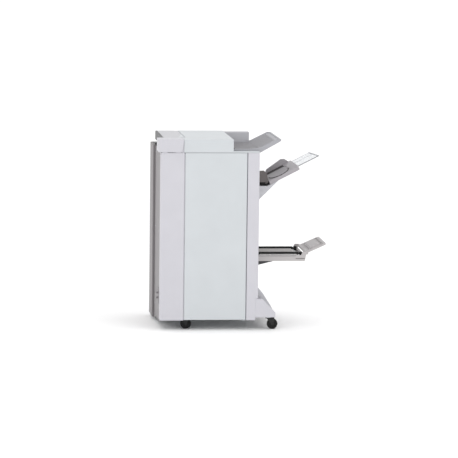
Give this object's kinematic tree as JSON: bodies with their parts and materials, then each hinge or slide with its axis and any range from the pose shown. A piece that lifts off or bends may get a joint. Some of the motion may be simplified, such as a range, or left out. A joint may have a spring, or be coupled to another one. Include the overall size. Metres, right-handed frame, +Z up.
{
  "type": "copier finisher",
  "caption": "Floor-standing copier finisher on casters: white cabinet with hinged front door, top tray, elevating stacker tray with clear extension, belt-fed booklet tray with end flap.",
  "frame": {"origin": "on the floor, under the middle of the whole machine's bounding box", "axes": "+X towards the delivery trays, -Y towards the user at the front door, +Z up"},
  "size_m": [1.05, 0.68, 1.165],
  "materials": {
    "frame_steel": "galvanised sheet",
    "white_plastic": "moulded, fine texture",
    "warm_white_plastic": "moulded, fine texture",
    "rear_paint": "moulded panel",
    "grey_plastic": "moulded, fine texture",
    "taupe_plastic": "moulded, fine texture",
    "dark_plastic": "moulded",
    "caster_black": "black coat",
    "wheel_rubber": "moulded rubber",
    "belt_rubber": "ribbed",
    "clear_plastic": "clear polycarbonate",
    "roller_steel": "ground shaft with rubber rollers",
    "blade_steel": "stainless"
  },
  "bodies": {
    "cabinet": {"base_frame": "frame_steel", "caster_plates": "caster_black", "front_side_plate": "frame_steel", "rear_side_plate": "frame_steel", "cross_stays": "frame_steel", "front_left_cover": "warm_white_plastic", "front_right_column": "warm_white_plastic", "door_hinges": "frame_steel", "rear_cover": "rear_paint", "docking_side_cover": "taupe_plastic", "docking_plate": "grey_plastic", "docking_bracket": "frame_steel", "exit_side_cover": "warm_white_plastic", "top_cover": "white_plastic", "transport_front_cover": "warm_white_plastic", "eject_block": "grey_plastic", "top_tray": "grey_plastic", "booklet_tray": "taupe_plastic", "booklet_bracket": "dark_plastic", "booklet_belts": "belt_rubber", "foot_cover_front": "warm_white_plastic", "foot_cover_rear": "warm_white_plastic", "kick_panel": "grey_plastic", "entry_guides": "dark_plastic", "punch_unit": "dark_plastic", "compiler_tray": "frame_steel", "booklet_guide": "frame_steel", "elevator_rails": "frame_steel", "drive_motor": "dark_plastic", "power_and_control": "dark_plastic"},
    "door": {"front_door": "white_plastic"},
    "jam_cover": {"jam_cover": "grey_plastic", "jam_cover_grip": "dark_plastic"},
    "stacker": {"stacker_tray": "grey_plastic", "stacker_fence": "dark_plastic", "stacker_support": "grey_plastic", "stacker_carriage": "frame_steel"},
    "extension": {"tray_extension": "clear_plastic"},
    "booklet_flap": {"booklet_end_flap": "taupe_plastic"},
    "belt_drive": {"belt_drive_shaft": "roller_steel"},
    "belt_idler": {"belt_idler_shaft": "roller_steel"},
    "entry_roller": {"entry_shaft": "roller_steel"},
    "transport_roller": {"transport_shaft": "roller_steel"},
    "top_exit_roller": {"top_exit_shaft": "roller_steel"},
    "eject_roller": {"eject_shaft": "roller_steel"},
    "fold_roller_top": {"fold_roller_upper": "roller_steel"},
    "fold_roller_bottom": {"fold_roller_lower": "roller_steel"},
    "lift_drive": {"lift_shaft": "roller_steel"},
    "tamper_front": {"front_tamper": "dark_plastic"},
    "tamper_rear": {"rear_tamper": "dark_plastic"},
    "stapler": {"stapler_head": "dark_plastic"},
    "knife": {"fold_knife": "blade_steel"},
    "fork_front_left": {"caster_fork_front_left": "caster_black"},
    "wheel_front_left": {"caster_wheel_front_left": "wheel_rubber"},
    "fork_front_right": {"caster_fork_front_right": "caster_black"},
    "wheel_front_right": {"caster_wheel_front_right": "wheel_rubber"},
    "fork_rear_left": {"caster_fork_rear_left": "caster_black"},
    "wheel_rear_left": {"caster_wheel_rear_left": "wheel_rubber"},
    "fork_rear_right": {"caster_fork_rear_right": "caster_black"},
    "wheel_rear_right": {"caster_wheel_rear_right": "wheel_rubber"}
  },
  "joints": [
    {"name": "door_hinge", "type": "hinge", "parent": "cabinet", "child": "door", "pos_m": [0.0055, -0.322, 0.575], "axis": [0, 0, 1], "range_deg": [0, 95]},
    {"name": "jam_cover_hinge", "type": "hinge", "parent": "cabinet", "child": "jam_cover", "pos_m": [-0.357, 0.056, 1.159], "axis": [0, 1, 0], "range_deg": [0, 70]},
    {"name": "stacker_lift", "type": "slide", "parent": "cabinet", "child": "stacker", "axis": [0, 0, 1], "range_m": [-0.3, 0]},
    {"name": "extension_slide", "type": "slide", "parent": "stacker", "child": "extension", "axis": [0.891, 0, 0.454], "range_m": [-0.11, 0]},
    {"name": "flap_hinge", "type": "hinge", "parent": "cabinet", "child": "booklet_flap", "pos_m": [0.4, -0.04, 0.459], "axis": [0, -1, 0], "range_deg": [-24, 66]},
    {"name": "belt_drive_turn", "type": "hinge", "parent": "cabinet", "child": "belt_drive", "pos_m": [0.112, -0.042, 0.445], "axis": [0, 1, 0], "continuous": true},
    {"name": "belt_idler_turn", "type": "hinge", "parent": "cabinet", "child": "belt_idler", "pos_m": [0.35, -0.042, 0.445], "axis": [0, 1, 0], "continuous": true},
    {"name": "entry_roller_turn", "type": "hinge", "parent": "cabinet", "child": "entry_roller", "pos_m": [-0.438, -0.015, 1.118], "axis": [0, 1, 0], "continuous": true},
    {"name": "transport_roller_turn", "type": "hinge", "parent": "cabinet", "child": "transport_roller", "pos_m": [-0.402, -0.015, 1.118], "axis": [0, 1, 0], "continuous": true},
    {"name": "top_exit_roller_turn", "type": "hinge", "parent": "cabinet", "child": "top_exit_roller", "pos_m": [-0.092, -0.015, 1.126], "axis": [0, 1, 0], "continuous": true},
    {"name": "eject_roller_turn", "type": "hinge", "parent": "cabinet", "child": "eject_roller", "pos_m": [0.038, -0.015, 1.004], "axis": [0, 1, 0], "continuous": true},
    {"name": "fold_roller_top_turn", "type": "hinge", "parent": "cabinet", "child": "fold_roller_top", "pos_m": [-0.02, -0.015, 0.4893], "axis": [0, 1, 0], "continuous": true},
    {"name": "fold_roller_bottom_turn", "type": "hinge", "parent": "cabinet", "child": "fold_roller_bottom", "pos_m": [-0.02, -0.015, 0.4587], "axis": [0, 1, 0], "continuous": true},
    {"name": "lift_drive_turn", "type": "hinge", "parent": "cabinet", "child": "lift_drive", "pos_m": [0.014, -0.015, 0.93], "axis": [0, 1, 0], "range_deg": [0, 1080]},
    {"name": "tamper_front_slide", "type": "slide", "parent": "cabinet", "child": "tamper_front", "axis": [0, 1, 0], "range_m": [0, 0.04]},
    {"name": "tamper_rear_slide", "type": "slide", "parent": "cabinet", "child": "tamper_rear", "axis": [0, -1, 0], "range_m": [0, 0.04]},
    {"name": "stapler_slide", "type": "slide", "parent": "cabinet", "child": "stapler", "axis": [0, 1, 0], "range_m": [-0.11, 0.11]},
    {"name": "knife_slide", "type": "slide", "parent": "cabinet", "child": "knife", "axis": [1, 0, 0], "range_m": [0, 0.034]},
    {"name": "swivel_front_left", "type": "hinge", "parent": "cabinet", "child": "fork_front_left", "pos_m": [-0.369, -0.262, 0.06], "axis": [0, 0, 1], "continuous": true},
    {"name": "roll_front_left", "type": "hinge", "parent": "fork_front_left", "child": "wheel_front_left", "pos_m": [-0.345, -0.262, 0.0325], "axis": [0, 1, 0], "continuous": true},
    {"name": "swivel_front_right", "type": "hinge", "parent": "cabinet", "child": "fork_front_right", "pos_m": [0.16, -0.29, 0.06], "axis": [0, 0, 1], "continuous": true},
    {"name": "roll_front_right", "type": "hinge", "parent": "fork_front_right", "child": "wheel_front_right", "pos_m": [0.184, -0.29, 0.0325], "axis": [0, 1, 0], "continuous": true},
    {"name": "swivel_rear_left", "type": "hinge", "parent": "cabinet", "child": "fork_rear_left", "pos_m": [-0.369, 0.27, 0.06], "axis": [0, 0, 1], "continuous": true},
    {"name": "roll_rear_left", "type": "hinge", "parent": "fork_rear_left", "child": "wheel_rear_left", "pos_m": [-0.345, 0.27, 0.0325], "axis": [0, 1, 0], "continuous": true},
    {"name": "swivel_rear_right", "type": "hinge", "parent": "cabinet", "child": "fork_rear_right", "pos_m": [0.16, 0.27, 0.06], "axis": [0, 0, 1], "continuous": true},
    {"name": "roll_rear_right", "type": "hinge", "parent": "fork_rear_right", "child": "wheel_rear_right", "pos_m": [0.184, 0.27, 0.0325], "axis": [0, 1, 0], "continuous": true}
  ],
  "couplings": [
    {"joint": "belt_idler_turn", "follows": "belt_drive_turn", "ratio": 1},
    {"joint": "transport_roller_turn", "follows": "entry_roller_turn", "ratio": 1},
    {"joint": "top_exit_roller_turn", "follows": "entry_roller_turn", "ratio": 1},
    {"joint": "eject_roller_turn", "follows": "entry_roller_turn", "ratio": 1},
    {"joint": "fold_roller_bottom_turn", "follows": "fold_roller_top_turn", "ratio": -1},
    {"joint": "lift_drive_turn", "follows": "stacker_lift", "rad_per_m": -62.3},
    {"joint": "tamper_rear_slide", "follows": "tamper_front_slide", "ratio": 1}
  ]
}
